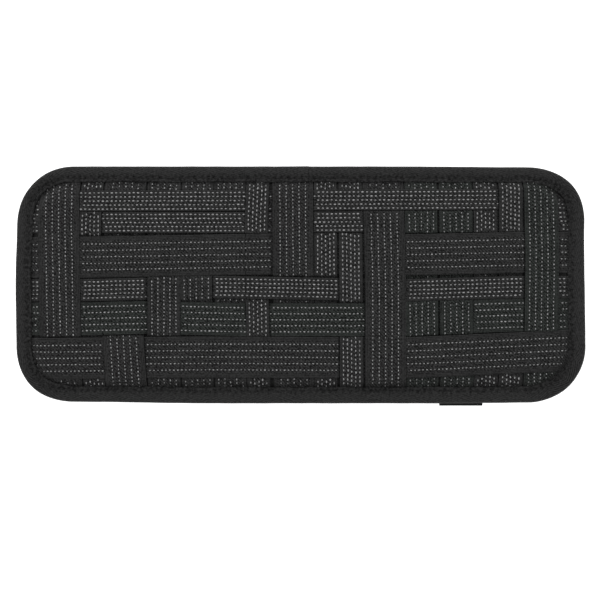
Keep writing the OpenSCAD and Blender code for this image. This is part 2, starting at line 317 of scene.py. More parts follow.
class Nodes:
    """A short way to write a material's node tree."""

    def __init__(self, name, rough, specular=0.12, sheen=0.0, coat=0.0, metallic=0.0):
        self.material = bpy.data.materials.new(name)
        self.material.use_nodes = True
        self.tree = self.material.node_tree
        self.shader = self.tree.nodes["Principled BSDF"]
        for socket, value in (("Roughness", rough), ("Specular IOR Level", specular), ("Metallic", metallic),
                              ("Sheen Weight", sheen), ("Sheen Roughness", 0.4), ("Coat Weight", coat)):
            self.set(self.shader.inputs[socket], value)

    def set(self, socket, value):
        if isinstance(value, bpy.types.NodeSocket):
            self.tree.links.new(value, socket)
        else:
            socket.default_value = value

    def node(self, kind, inputs, output=0, **settings):
        """Adds a node with its settings and inputs, and gives one of its outputs."""
        node = self.tree.nodes.new("ShaderNode" + kind)
        for name, value in settings.items():
            setattr(node, name, value)
        for socket, value in inputs.items():
            self.set(node.inputs[socket], value)
        return node.outputs[output]

    def math(self, operation, a, b=0.0):
        return self.node("Math", {0: a, 1: b}, operation=operation)

    def total(self, *terms):
        """Sum of (value, weight) terms."""
        out = None
        for value, weight in terms:
            term = self.math("MULTIPLY", value, weight)
            out = term if out is None else self.math("ADD", out, term)
        return out

    def ramp(self, value, low, high):
        """0 below low, 1 above high, and straight between."""
        return self.node("MapRange", {"Value": value, "From Min": low, "From Max": high})

    def wave(self, coordinate, pitch):
        """A sine from -1 to 1 that repeats every pitch millimetres."""
        return self.math("SINE", self.math("MULTIPLY", coordinate, 2 * math.pi / pitch))

    def axes(self, vector):
        return self.node("SeparateXYZ", {0: vector}, slice(None))

    def fabric_axes(self):
        """Position on the unrolled fabric in millimetres, along and across, and its darkening: painted shade
        on the straps and their dashes, and darker corners on the binding.
        """
        return self.axes(self.node("Attribute", {}, "Vector", attribute_name="fabric"))

    def margin(self):
        """Distance in from the strap's nearer edge, in millimetres."""
        return self.node("Attribute", {}, "Fac", attribute_name="margin")

    def object_axes(self):
        """Position on the object in millimetres."""
        axes = self.axes(self.node("TexCoord", {}, "Object"))
        return [self.math("MULTIPLY", axis, 1 / MM) for axis in axes]

    def noise(self, size, detail=2.0):
        """Noise with features of about size millimetres, from 0 to 1 with most of that range used."""
        coords = self.node("TexCoord", {}, "Object")
        inputs = {"Scale": 1 / (size * MM), "Detail": detail, "Vector": coords}
        return self.ramp(self.node("TexNoise", inputs, "Fac"), 0.3, 0.7)

    def colour(self, low, high, factor):
        """Base colour between two colours."""
        inputs = {0: factor, 6: (*low, 1), 7: (*high, 1)}
        self.set(self.shader.inputs["Base Color"], self.node("Mix", inputs, 2, data_type="RGBA"))

    def bump(self, height, depth):
        """Bump whose height of 1 stands depth millimetres proud."""
        inputs = {"Strength": 1.0, "Distance": depth * MM, "Height": height}
        self.set(self.shader.inputs["Normal"], self.node("Bump", inputs))


def shades(base, spread):
    """Two colours around a base colour."""
    return [tuple(c * (1 - spread) for c in base), tuple(c * (1 + spread) for c in base)]


def elastic(name, base):
    """Knitted elastic: ribs run along the strap, with fine weft threads across it."""
    n = Nodes(name, rough=0.85, sheen=0.04)
    along, across, painted_shade_and_corner_dark = n.fabric_axes()
    rib = n.wave(across, 0.98)
    weft = n.wave(n.math("ADD", along, n.math("MULTIPLY", across, 0.35)), 0.7)
    slant = n.wave(n.math("ADD", along, across), 1.9)
    fuzz = n.noise(0.4)
    n.bump(n.total((rib, 0.9), (weft, 0.6), (fuzz, 1.6)), 0.06)
    # the edges are woven tighter and smoother than the rest
    knit = n.ramp(n.margin(), 1.9, 3.3)
    mottle = n.math("MULTIPLY", n.math("SUBTRACT", n.noise(1.1, 1.5), 0.5), n.total((knit, 0.65), (1.0, 0.5)))
    slanted = n.math("MULTIPLY", slant, knit)
    # the last term darkens the elastic with painted shade in narrow gaps and beside the binding
    shade = n.total((mottle, 1.1), (n.noise(7.0), 0.2), (rib, 0.22), (weft, 0.1), (slanted, 0.24),
                    (knit, -0.05), (painted_shade_and_corner_dark, -0.36))
    n.colour(*shades(base, 0.9), n.math("ADD", shade, 0.42))
    return n.material


def grip_rubber():
    """Light rubber printed on the elastic as short dashes."""
    n = Nodes("grip_rubber", rough=0.6, specular=0.3)
    _, _, painted_shade_and_corner_dark = n.fabric_axes()
    # uneven wear, and painted shade that darkens the dashes in narrow gaps and beside the binding
    wear_and_painted_shade = n.total((n.noise(1.4, 3), 0.82), (painted_shade_and_corner_dark, -0.5), (1.0, 0.18))
    n.colour((0.05, 0.05, 0.05), (0.32, 0.32, 0.322), wear_and_painted_shade)
    n.bump(n.noise(0.3), 0.03)
    return n.material


def binding_twill(name, base):
    """Herringbone binding tape: steep ribs that turn back, rougher where it is sewn and at the corners.

    across runs up from 0 at the front's inner edge, and falls to 0 again at the back's."""
    n = Nodes(name, rough=0.7, sheen=0.04)
    along, across, painted_shade_and_corner_dark = n.fabric_axes()
    slant = n.math("PINGPONG", n.math("MULTIPLY", along, 0.35), 5.0)
    rib = n.math("MULTIPLY", n.wave(n.math("ADD", across, slant), 1.3), n.noise(2.2))
    mottle = n.noise(1.3, 2)
    n.bump(n.total((rib, 0.8), (n.noise(0.5), 1.2), (mottle, 1.4)), 0.08)
    # towards each corner's middle the smooth band starts further out, and the ribs are stronger and the tape
    # darker
    corner_band_shift = n.math("ADD", n.math("MULTIPLY", painted_shade_and_corner_dark, 3.6), 0.8)
    # the smooth outer band is painted lighter than the sunken sewn band inside it: painted sheen on the one,
    # painted shade in the other
    smooth_sheen_band = n.ramp(n.math("SUBTRACT", across, corner_band_shift), 1.8, 5.0)
    ribbed = n.math("MULTIPLY", n.math("ADD", n.math("MULTIPLY", painted_shade_and_corner_dark, 1.2), 0.45), smooth_sheen_band)
    # painted shade of the puckers at the stitches, darker and lighter in turn along the stitch line
    needle = n.ramp(n.math("ABSOLUTE", n.math("SUBTRACT", across, STITCH_IN + 0.3)), 1.5, 0.2)
    pucker_shade = n.math("MULTIPLY", n.wave(along, STITCH_PITCH), needle)
    rough = n.math("SUBTRACT", 1.0, n.math("MULTIPLY", smooth_sheen_band, 0.35))
    speckle = n.math("MULTIPLY", n.math("SUBTRACT", mottle, 0.5), rough)
    shade = n.total((speckle, 1.0), (smooth_sheen_band, 0.18), (n.math("MULTIPLY", rib, ribbed), 0.9),
                    (pucker_shade, 0.16), (n.noise(6.0), 0.1), (painted_shade_and_corner_dark, -0.2))
    n.colour(*shades(base, 0.85), n.math("ADD", shade, 0.375))
    return n.material


def twill_tape(name, base, pitch):
    """Fine tape with slanted ribs."""
    n = Nodes(name, rough=0.65, sheen=0.05)
    along, across, _ = n.fabric_axes()
    rib = n.wave(n.math("ADD", along, n.math("PINGPONG", across, 2.0)), pitch)
    n.bump(n.total((rib, 1.0), (n.noise(0.5), 1.0)), 0.05)
    n.colour(*shades(base, 0.4), n.total((n.noise(1.6, 3), 0.7), (rib, 0.2)))
    return n.material


def plain_weave(name, base, pitch, depth=0.06):
    """Plain woven cloth with threads along X and Y, whose crossings alternate."""
    n = Nodes(name, rough=0.75, sheen=0.05)
    x, y, _ = n.object_axes()
    weave = n.math("MULTIPLY", n.wave(x, pitch), n.wave(y, pitch))
    n.bump(n.total((weave, 1.0), (n.noise(0.6), 0.8)), depth)
    shade = n.total((n.noise(3.0, 3), 0.45), (n.noise(18.0), 0.25), (weave, 0.22))
    n.colour(*shades(base, 0.5), n.math("ADD", shade, 0.12))
    return n.material


def thread_material():
    n = Nodes("sewing_thread", rough=0.5, specular=0.3)
    along, across, _ = n.fabric_axes()
    twist = n.wave(n.math("ADD", along, across), 0.5)
    n.bump(twist, 0.03)
    n.colour((0.006, 0.006, 0.006), (0.016, 0.016, 0.016), n.total((twist, 0.3), (n.noise(5), 0.6)))
    return n.material


def moulded(name, base, rough, specular=0.4, metallic=0.0, coat=0.0, grain=0.8):
    """Plastic, foam or lacquered metal with faint unevenness and rubbed spots."""
    n = Nodes(name, rough=rough, specular=specular, metallic=metallic, coat=coat)
    n.bump(n.noise(grain, 3), 0.02)
    n.colour(*shades(base, 0.3), n.total((n.noise(2.0, 3), 0.7), (n.noise(9.0), 0.3)))
    return n.material


STRAP_GREY = elastic("elastic", (0.0175, 0.0175, 0.0175))
STRAP_GREEN = elastic("elastic_greenish", (0.0165, 0.0185, 0.0172))
GRIP = grip_rubber()
BINDING = binding_twill("binding_tape", (0.0145, 0.0145, 0.0145))
LABEL = twill_tape("label_satin", (0.012, 0.012, 0.0125), pitch=0.6)
ZIP_TAPE = twill_tape("zip_tape", (0.011, 0.011, 0.0115), pitch=0.9)
COVER = plain_weave("cover_fabric", (0.006, 0.006, 0.006), pitch=0.6)
LINING = plain_weave("lining_fabric", (0.012, 0.012, 0.013), pitch=0.4, depth=0.03)
BACK = plain_weave("back_fabric", (0.0165, 0.0165, 0.017), pitch=1.1, depth=0.09)
THREAD = thread_material()
FOAM = moulded("foam", (0.03, 0.03, 0.03), 0.9, specular=0.1, grain=0.5)
BOARD = moulded("board", (0.05, 0.05, 0.05), 0.6)
COIL = moulded("nylon_coil", (0.013, 0.013, 0.014), 0.35)
METAL = moulded("lacquered_metal", (0.045, 0.045, 0.048), 0.3, metallic=0.7, coat=0.3)


# ---- The bound edge, walked anticlockwise from the middle of the top edge ----

STRAIGHT_X, STRAIGHT_Y = 2 * (HALF_L - CORNER_R), 2 * (HALF_W - CORNER_R)
ARC = math.pi / 2 * CORNER_R
EDGE_LENGTH = 2 * (STRAIGHT_X + STRAIGHT_Y) + 4 * ARC

# How far the sewn edge strays outside the plain outline, at distances walked: most at the lower left
# and upper right corners
EDGE_STRAY = [
    (0, 0), (140, 0), (190, -0.5), (230, 0.5), (268, 0), (293, 1), (320, -0.5), (410, 0.5),
    (545, 0.5), (605, 0), (630, 0.5), (725, -0.5), (752, 1), (780, -0.5), (870, 0), (922, 0),
]
# How wide the tape's face is, at distances walked: widest at the lower right corner
FACE_WIDTHS = [
    (0, 9.5), (140, 9.5), (166, 8.5), (194, 9.5), (600, 10), (627, 12), (655, 11), (728, 10.5), (756, 9.5),
    (922, 9.5),
]

# The tape is darker, with stronger ribs, towards the middle of each corner, and alike at all four
CORNER_DARKENING, CORNER_REACH = 0.45, 32.0
CORNER_STEPS = [0, STRAIGHT_Y + ARC, STRAIGHT_X + ARC, STRAIGHT_Y + ARC]
CORNER_MIDDLES = (STRAIGHT_X + ARC) / 2 + np.cumsum(CORNER_STEPS)


def corner_darkening(walked):
    """How much darker the tape is: most at the middle of a corner, and not at all on the straight sides."""
    away = np.abs((np.asarray(walked) % EDGE_LENGTH)[..., None] - CORNER_MIDDLES).min(-1)
    return CORNER_DARKENING * ease(1 - away / CORNER_REACH)


def along_edge(table, walked):
    """A value that a table gives at distances walked, eased between them."""
    walked = np.asarray(walked) % EDGE_LENGTH
    places, values = np.array(table, float).T
    k = np.clip(np.searchsorted(places, walked, "right") - 1, 0, len(places) - 2)
    share = (walked - places[k]) / (places[k + 1] - places[k])
    return lerp(values[k], values[k + 1], ease(share))


def edge_points(walked):
    """Points of the plain outline at distances walked, and their outward directions."""
    points, outward = np.zeros((len(walked), 2)), np.zeros((len(walked), 2))
    legs = [STRAIGHT_X, ARC, STRAIGHT_Y, ARC] * 2
    for k, s in enumerate(walked):
        s = (s + STRAIGHT_X / 2) % EDGE_LENGTH
        leg = 0
        while s > legs[leg]:
            s -= legs[leg]
            leg += 1
        turn = math.pi / 2 * (leg // 2)
        half_along, half_out = ((HALF_L, HALF_W), (HALF_W, HALF_L))[leg // 2 % 2]
        reach, rise = half_along - CORNER_R, half_out - CORNER_R
        angle = math.pi / 2 + (s / CORNER_R if leg % 2 else 0)
        n = (math.cos(angle), math.sin(angle))
        start = -reach if leg % 2 else reach - s
        p = (start + CORNER_R * n[0], rise + CORNER_R * n[1])
        c, q = math.cos(turn), math.sin(turn)
        points[k] = (p[0] * c - p[1] * q, p[0] * q + p[1] * c)
        outward[k] = (n[0] * c - n[1] * q, n[0] * q + n[1] * c)
    return points, outward


EDGE_STATIONS = np.arange(0, EDGE_LENGTH, 2.0)
EDGE_OUTLINE = edge_points(EDGE_STATIONS)[0]


def face_width_at(x, y):
    """How wide the binding's face is beside a point of the panel."""
    gaps = (EDGE_OUTLINE[:, 0] - np.ravel(x)[:, None]) ** 2 + (EDGE_OUTLINE[:, 1] - np.ravel(y)[:, None]) ** 2
    return along_edge(FACE_WIDTHS, EDGE_STATIONS[gaps.argmin(1)]).reshape(np.shape(x))


# The strap's shade beside the binding, and how far in it reaches
BINDING_SHADE, SHADE_REACH = 0.55, 3.5


def beside_binding(x, y):
    """1 at the binding's inner edge and 0 a few millimetres further in."""
    return 1 - ease((inset(x, y) - face_width_at(x, y)) / SHADE_REACH)


# ---- Straps ----

class Strap:
    """One elastic strap, with its centre line and the straps it crosses, in order along it."""

    def __init__(self, name, run, upright):
        lo, hi = cad_box_mm(name)
        self.name = name
        self.upright = upright
        self.width = (hi - lo)[0 if upright else 1]
        self.half_run = HALF_W if upright else HALF_L
        run = sorted(run)
        grid = np.linspace(-self.half_run - 20, self.half_run + 20, 400)
        line = np.interp(grid, [p[0] for p in run], [p[1] for p in run])
        smooth = int(len(grid) * 16 / (grid[-1] - grid[0])) | 1
        padded = np.pad(line, smooth // 2, mode="edge")
        self._grid = grid
        self._line = np.convolve(padded, np.ones(smooth) / smooth, "valid")
        corner = (HALF_L if upright else HALF_W) - CORNER_R
        self.in_corner = abs(line.mean()) + self.width / 2 > corner
        self.crossing = []
        self.phase = rng.uniform(0, 2 * math.pi, 3)

    def centre(self, along):
        return np.interp(along, self._grid, self._line)

    def place(self, along, across):
        """Panel x and y of a point on the strap."""
        side = self.centre(along) + across
        return (side, along) if self.upright else (along, side)

    def end(self, across, sign):
        """How far the strap runs towards one end before it meets the binding's fold."""
        near, far = 0.0, self.half_run
        for _ in range(30):
            middle = (near + far) / 2
            x, y = self.place(sign * middle, across)
            if inset(x, y) > EDGE_IN:
                near = middle
            else:
                far = middle
        return sign * near

    def edges(self, across):
        """Where the crossing straps' edges lie along this strap, at one distance across it."""
        places = []
        for other, _ in self.crossing:
            along = other.centre(self.centre(0) + across)
            along = other.centre(self.centre(along) + across)
            places += [along - other.width / 2, along + other.width / 2]
        return np.array(places)

    def level(self, along, edges):
        """0 where the strap lies under, 1 where it lies over, and between them in the gaps."""
        over = np.array([float(top) for _, top in self.crossing])
        return ease(np.interp(along, edges, np.repeat(over, 2)))

    def gap_shade(self, along, edges):
        """How dark the strap lies in the gaps between the straps that cross it: most in the narrowest."""
        shade = np.zeros_like(along)
        for near, far in zip(edges[1:-1:2], edges[2:-1:2]):
            inside = (along >= near) & (along <= far)
            shade[inside] = np.clip(1.6 - (far - near) / 2, 0, 1)
        return shade * (1 - self.level(along, edges))

    def painted_shade(self, along, across, edges):
        """How much painted shade the strap has: painted shade in narrow gaps and close beside the binding."""
        x, y = self.place(along, across)
        return np.maximum(self.gap_shade(along, edges), BINDING_SHADE * beside_binding(x, y))

    def bottom_and_thickness(self, along, across, edges):
        x, y = self.place(along, across)
        level = self.level(along, edges)
        flat = np.clip((inset(x, y) - BIND_W) / SLOPE_W, 0, 1)
        rim = STRAP_RIM_Z + (level * HALF_RIM_STEP if self.in_corner else 0)
        rim_t = HALF_RIM_T if self.in_corner else STRAP_RIM_T
        wave = np.sin(along / 7 + self.phase[0]) * np.sin(across / 5 + self.phase[1])
        bottom = lerp(rim, LOW_Z + LEVEL_STEP * level, flat)
        thick = lerp(rim_t, STRAP_T + 0.03 * wave, flat)
        return x, y, bottom, thick


def make_straps():
    uprights = [Strap(n, r, True) for n, r in zip(UPRIGHTS, UPRIGHT_RUNS)]
    crosses = [Strap(n, r, False) for n, r in zip(CROSSES, CROSS_RUNS)]
    for i, upright in enumerate(uprights):
        upright.crossing = [(cross, row[i] == "V") for cross, row in zip(crosses[::-1], WEAVE[::-1])]
    for cross, row in zip(crosses, WEAVE):
        cross.crossing = [(upright, top == "H") for upright, top in zip(uprights, row)]
    return uprights + crosses


# A strap's section at one edge: distance in from the edge, and the share of its thickness there.
# A cord runs along the edge, with a groove beside it.
SELVEDGE = [(0.0, 0.3), (0.12, 0.68), (0.38, 0.95), (0.75, 1.05), (1.1, 0.98), (1.35, 0.88), (1.6, 0.9),
            (1.95, 1.0)]
MIDDLE_COLUMNS = 9


def strap_columns(width):
    """Distances across a strap and the share of its thickness at each."""
    edge = np.array(SELVEDGE)
    half = width / 2
    inner = np.linspace(-half + SELVEDGE[-1][0], half - SELVEDGE[-1][0], MIDDLE_COLUMNS + 2)[1:-1]
    left = [(d - half, full) for d, full in edge]
    right = [(half - d, full) for d, full in edge[::-1]]
    return left + [(across, 1.0) for across in inner] + right


STEPS_OVER = 16
STEPS_IN_GAP = 7


def stations(edges, start, stop):
    """Places along a strap: evenly over each crossing and each gap."""
    knots = np.concatenate([[start], edges, [stop]])
    places = []
    for k in range(len(knots) - 1):
        in_gap = k % 2 == 0 and 0 < k < len(knots) - 2
        steps = STEPS_IN_GAP if in_gap else STEPS_OVER
        places.append(np.linspace(knots[k], knots[k + 1], steps, endpoint=False))
    return np.concatenate(places + [[stop]])


def add_strap(strap):
    top, bottom, coords = [], [], []
    for across, full in strap_columns(strap.width):
        edges = strap.edges(across)
        along = stations(edges, strap.end(across, -1), strap.end(across, 1))
        x, y, base, thick = strap.bottom_and_thickness(along, across, edges)
        top.append(np.stack([x, y, base + thick * (0.5 + full / 2)], -1))
        bottom.append(np.stack([x, y, base + thick * (0.5 - min(full, 1) / 2)], -1))
        # painted shade for the strap's colour, in narrow gaps and beside the binding
        painted_shade_and_corner_dark = strap.painted_shade(along, across, edges)
        margin = np.full_like(along, strap.width / 2 - abs(across))
        coords.append(np.stack([along, np.full_like(along, across), painted_shade_and_corner_dark, margin], -1))
    rings = np.stack(top + bottom[::-1], 1)
    places = np.stack(coords + coords[::-1], 1)
    material = STRAP_GREEN if strap.name in GREENISH else STRAP_GREY
    return add_piece(strap.name + "_elastic", rings, capped_quads(rings), material,
                     replaces=[strap.name], coords=places)


# ---- Grip dashes ----

ROWS = 5
# Straps narrower than these have rows closer together
NARROW = 15
MEDIUM = 22
# No dash lies nearer than this to a strap that crosses over it
CLEAR_OF_STRAP = 0.75


def dash_style(strap):
    """Distance between rows, pitch along a row, and a dash's length and width."""
    if strap.width < NARROW:
        return 2.46, 2.67, 1.5, 0.85
    if strap.width < MEDIUM:
        return (3.65, 2.28, 1.15, 0.74) if strap.upright else (3.65, 2.4, 1.3, 0.8)
    return (3.9, 2.27, 1.15, 0.74) if strap.upright else (3.9, 2.4, 1.15, 0.74)


def dash_shape(length, width):
    """One dash about its middle, as (along, across, height): two rings and a crown."""
    points = []
    square = 0.75
    sides = 10
    for scale, height in ((1, -0.08), (0.8, 0.13)):
        for a in (np.arange(sides) + 0.5) * 2 * math.pi / sides:
            c, s = math.cos(a), math.sin(a)
            points.append((
                scale * length / 2 * math.copysign(abs(c) ** square, c),
                scale * width / 2 * math.copysign(abs(s) ** square, s),
                height,
            ))
    points.append((0, 0, 0.17))
    crown = 2 * sides
    faces = grid_faces(2, sides, wrap_cols=True)
    faces += [[sides + k, sides + (k + 1) % sides, crown] for k in range(sides)]
    faces.append(list(range(sides))[::-1])
    return np.array(points), faces


def shows(strap, along, across, edges):
    """Whether the strap's face is in sight: not under a crossing strap, and not under the binding."""
    x, y = strap.place(along, across)
    seen = inset(x, y) > face_width_at(x, y) + 0.15
    for k, (_, over) in enumerate(strap.crossing):
        if not over:
            seen &= (along < edges[2 * k] - CLEAR_OF_STRAP) | (along > edges[2 * k + 1] + CLEAR_OF_STRAP)
    return seen


def add_dashes(strap):
    row_gap, pitch, length, width = dash_style(strap)
    shape, shape_faces = dash_shape(length, width)
    parts, coords = [], []
    for row in range(ROWS):
        across = (row - (ROWS - 1) / 2) * row_gap
        edges = strap.edges(across)
        first, last = strap.end(across, -1), strap.end(across, 1)
        along = np.arange(first + rng.uniform(0, pitch), last, pitch)
        along = along[shows(strap, along, across, edges)]
        count = len(along)
        if not count:
            continue
        # painted shade for the dashes' colour, which also makes the dashes smaller there
        painted_shade_and_corner_dark = np.broadcast_to(strap.painted_shade(along, across, edges)[:, None], (count, len(shape)))
        scale = rng.uniform(0.82, 1.1, (count, 1)) * (1 - 0.3 * painted_shade_and_corner_dark)
        s = along[:, None] + shape[None, :, 0] * scale + rng.normal(0, 0.05, (count, 1))
        t = across + shape[None, :, 1] * scale + rng.normal(0, 0.09 if strap.upright else 0.05, (count, 1))
        x, y, base, thick = strap.bottom_and_thickness(s, t, edges)
        points = np.stack([x, y, base + thick + shape[None, :, 2]], -1)
        parts.append((points, repeated(shape_faces, len(shape), count)))
        coords.append(np.stack([s, t, painted_shade_and_corner_dark], -1).reshape(-1, 3))
    verts, faces = join_parts(parts)
    coords = np.concatenate(coords)
    return add_piece(strap.name + "_grip_dashes", verts, faces, GRIP, coords=coords)


# ---- Binding ----

BACK_W = 9.6
FLANGE_STEPS = 18
FOLD_STEPS = 12


def tape_stations(walked):
    """The folded tape's outside across its width, from the face's inner edge round to the back's.

    Gives each column's distance in from the edge, its height above the rim's middle, its outward
    slope (in, up), how far the flat of the tape reaches there from its nearer inner edge, and how
    much further the tape runs round the fold."""
    face = along_edge(FACE_WIDTHS, walked)
    columns = []
    for width, side in ((face, 1), (np.full_like(face, BACK_W), -1)):
        flange = [lerp(RIM_R, width, 1 - k / FLANGE_STEPS) for k in range(FLANGE_STEPS)]
        flange = [(d, side * RIM_R, 0.0, side, width - d, 0.0) for d in flange]
        columns.append(flange if side > 0 else flange[::-1])
    fold = []
    for k in range(FOLD_STEPS + 1):
        a = math.pi / 2 - math.pi * k / FOLD_STEPS
        to_edge = (face if a > 0 else BACK_W) - RIM_R
        c, q = math.cos(a), math.sin(a)
        fold.append((RIM_R * (1 - c), RIM_R * q, -c, q, to_edge, RIM_R * (math.pi / 2 - abs(a))))
    return columns[0] + fold + columns[1]


def pucker(to_edge, walked, phase=0.0):
    """How far the tape stands proud of its plain section, between and at its stitches."""
    puff = 0.34 * np.sin(np.pi * np.clip((to_edge - STITCH_IN) / 6.0, 0, 1))
    groove = np.exp(-(((to_edge - STITCH_IN) / 0.6) ** 2))
    pull = 0.22 + 0.14 * np.cos(2 * np.pi * walked / STITCH_PITCH)
    inner = ease((5.6 - to_edge) / 3.0)
    crease = 0.10 * np.sin(2 * np.pi * walked / STITCH_PITCH + phase) + 0.07 * np.sin(walked / 0.37 + phase)
    slow = 0.06 * np.sin(walked / 11.0 + phase) * np.sin(walked / 4.7)
    return puff - groove * pull + (crease - 0.12) * inner + slow * ease(to_edge / 2)


def tape_rings(walked, lift=0.0):
    """Rings of the folded tape at distances walked, and each point's place on the unrolled tape.

    lift raises the tape's flat faces at each distance walked."""
    points, outward = edge_points(walked)
    stray = along_edge(EDGE_STRAY, walked)
    painted_shade_and_corner_dark = corner_darkening(walked)
    wander = 0.2 * np.sin(walked / 9.3) + 0.14 * np.sin(walked / 3.1 + 1)
    outer, inner, coords = [], [], []
    for d, h, slope_in, slope_up, to_edge, round_fold in tape_stations(walked):
        proud = pucker(to_edge, walked, 0 if h > 0 else 2) + lift * lerp(0.3, 1, abs(h) / RIM_R)
        reach = d - stray + wander * ease((3.5 - to_edge) / 3.5)
        for rows, out_by in ((outer, proud), (inner, proud - TAPE_T)):
            place = points - outward * (reach + slope_in * out_by)[:, None]
            rows.append(np.column_stack([place, RIM_MID_Z + h + slope_up * out_by]))
        across = np.broadcast_to(to_edge + round_fold, walked.shape)
        coords.append(np.column_stack([walked, across, painted_shade_and_corner_dark]))
    return np.stack(outer + inner[::-1], 1), np.stack(coords + coords[::-1], 1)


# The lap's turned end and its far end, as distances walked
LAP = (-4.7, 12.0)


def lap_lift(walked):
    """How far the lap lifts the face of the tape: most at its turned end."""
    return 0.34 * ease((LAP[1] - walked) / (LAP[1] - LAP[0])) + 0.02


def add_binding():
    walked = np.arange(0, EDGE_LENGTH, 0.6)
    rings, coords = tape_rings(walked)
    faces = grid_faces(*rings.shape[:2], wrap_rows=True, wrap_cols=True)
    add_piece("folded_binding", rings, faces, BINDING, replaces=["binding_tape"], coords=coords)
    # the tape's end is turned under and laps over its start
    walked = np.linspace(*LAP, 36)
    rings, coords = tape_rings(walked, lap_lift(walked))
    add_piece("binding_lap", rings, capped_quads(rings), BINDING, coords=coords)


def stitch_shape(length, radius=0.19):
    """One stitch of thread, dipping into the cloth at both ends."""
    t = np.linspace(-1, 1, 9)
    path = np.column_stack([t * length / 2, 0 * t, radius * (0.55 - 1.6 * t**4)])
    return sweep(path, circle(radius, 6), (0, 1, 0))


def add_stitches(name, places, along, length):
    """A row of stitches. They face down where the first of them is below the rim's middle, or else up."""
    places, along = np.asarray(places, float), np.asarray(along, float)
    up = np.broadcast_to([0.0, 0.0, -1.0 if places[0][2] < RIM_MID_Z else 1.0], places.shape)
    verts, faces = scatter(stitch_shape(length), places, along, np.cross(up, along), up)
    return add_piece(name, verts, faces, THREAD, coords=verts[:, :2])


def add_binding_stitches():
    walked = np.arange(STITCH_PITCH / 2, EDGE_LENGTH - 1, STITCH_PITCH)
    points, outward = edge_points(walked)
    stray = along_edge(EDGE_STRAY, walked)
    along = np.column_stack([-outward[:, 1], outward[:, 0], np.zeros(len(walked))])
    from_lap = (walked + EDGE_LENGTH / 2) % EDGE_LENGTH - EDGE_LENGTH / 2
    lapped = np.where((from_lap > LAP[0]) & (from_lap < LAP[1]), lap_lift(from_lap), 0)
    face = along_edge(FACE_WIDTHS, walked)
    for name, width, side in (("face_stitches", face, 1), ("back_stitches", np.full_like(face, BACK_W), -1)):
        proud = pucker(np.full_like(walked, STITCH_IN), walked, 0 if side > 0 else 2)
        place = points - outward * (width - STITCH_IN - stray)[:, None]
        z = RIM_MID_Z + side * (RIM_R + proud + lapped)
        add_stitches(name, np.column_stack([place, z]), along, STITCH_PITCH - STITCH_GAP)


# ---- Cloth and foam layers ----

def ring_at(loop, z):
    """A ring of points: an outline at one height, or with a height for each of its points."""
    return np.column_stack([loop, np.broadcast_to(z, len(loop))])


def layer_z(distance_in, rim, middle):
    """Height of a layer that is clamped in the rim and slopes to its height in the middle."""
    return lerp(rim, middle, ease((distance_in - BIND_W) / SLOPE_W))


def add_layer(name, node, material, start_in, rim, middle):
    """A sheet between two heights in the rim and two in the middle, made of rings round the outline."""
    insets = (5, 8, 9.5, 10.4, 11.3, 12.2, 13.1, 14, 16, 22, 30, 42, 56, 71)
    insets = [start_in] + [d for d in insets if d > start_in]
    under, over = [], []
    for rings, rim_z, middle_z in zip((under, over), rim, middle):
        for d in insets:
            loop = round_box_loop(HALF_L - d, HALF_W - d, max(CORNER_R - d, 0.9))
            wave = 0.03 * np.sin(loop[:, 0] / 13) * np.sin(loop[:, 1] / 9)
            rings.append(ring_at(loop, layer_z(d, rim_z, middle_z) - wave * (d > FLAT_IN)))
    stack = np.stack(under[::-1] + over)
    return add_piece(name, stack, capped_grid(stack), material, replaces=[node])


def add_layers():
    for name, node, material, slot, thick in (
        ("front_cloth", "front_cover", COVER, "cover_fabric", COVER_T),
        ("pocket_cloth", "pocket_lining", LINING, "lining_fabric", LINING_T),
    ):
        low, high = (corner[2] for corner in cad_box_mm(node))
        add_layer(name, node, material, EDGE_IN, (low, low + thick), (high - thick, high))
    foam_lo, foam_hi = cad_box_mm("foam_pad")
    heights = (foam_lo[2], foam_hi[2])
    pad = add_layer("foam_sheet", "foam_pad", FOAM, HALF_L - foam_hi[0], heights, heights)


# ---- Back panel with its zip ----

zip_lo, zip_hi = cad_box_mm("zip_tape_upper")
coil_lo, coil_hi = cad_box_mm("zip_coil_upper")
slider_lo, slider_hi = cad_box_mm("zip_slider")
pull_lo, pull_hi = cad_box_mm("zip_pull")
label_lo, label_hi = cad_box_mm("label_tab")
ZIP_Y = (slider_lo + slider_hi)[1] / 2
WINDOW_HALF = (130.0, 6.0)
WINDOW_R = 1.5
WINDOW_STITCH = 2.3


def window_loop(out_by):
    return round_box_loop(WINDOW_HALF[0] + out_by, WINDOW_HALF[1] + out_by, WINDOW_R + out_by, (0, ZIP_Y))


def panel_loop(d):
    return round_box_loop(HALF_L - d, HALF_W - d, CORNER_R - d)


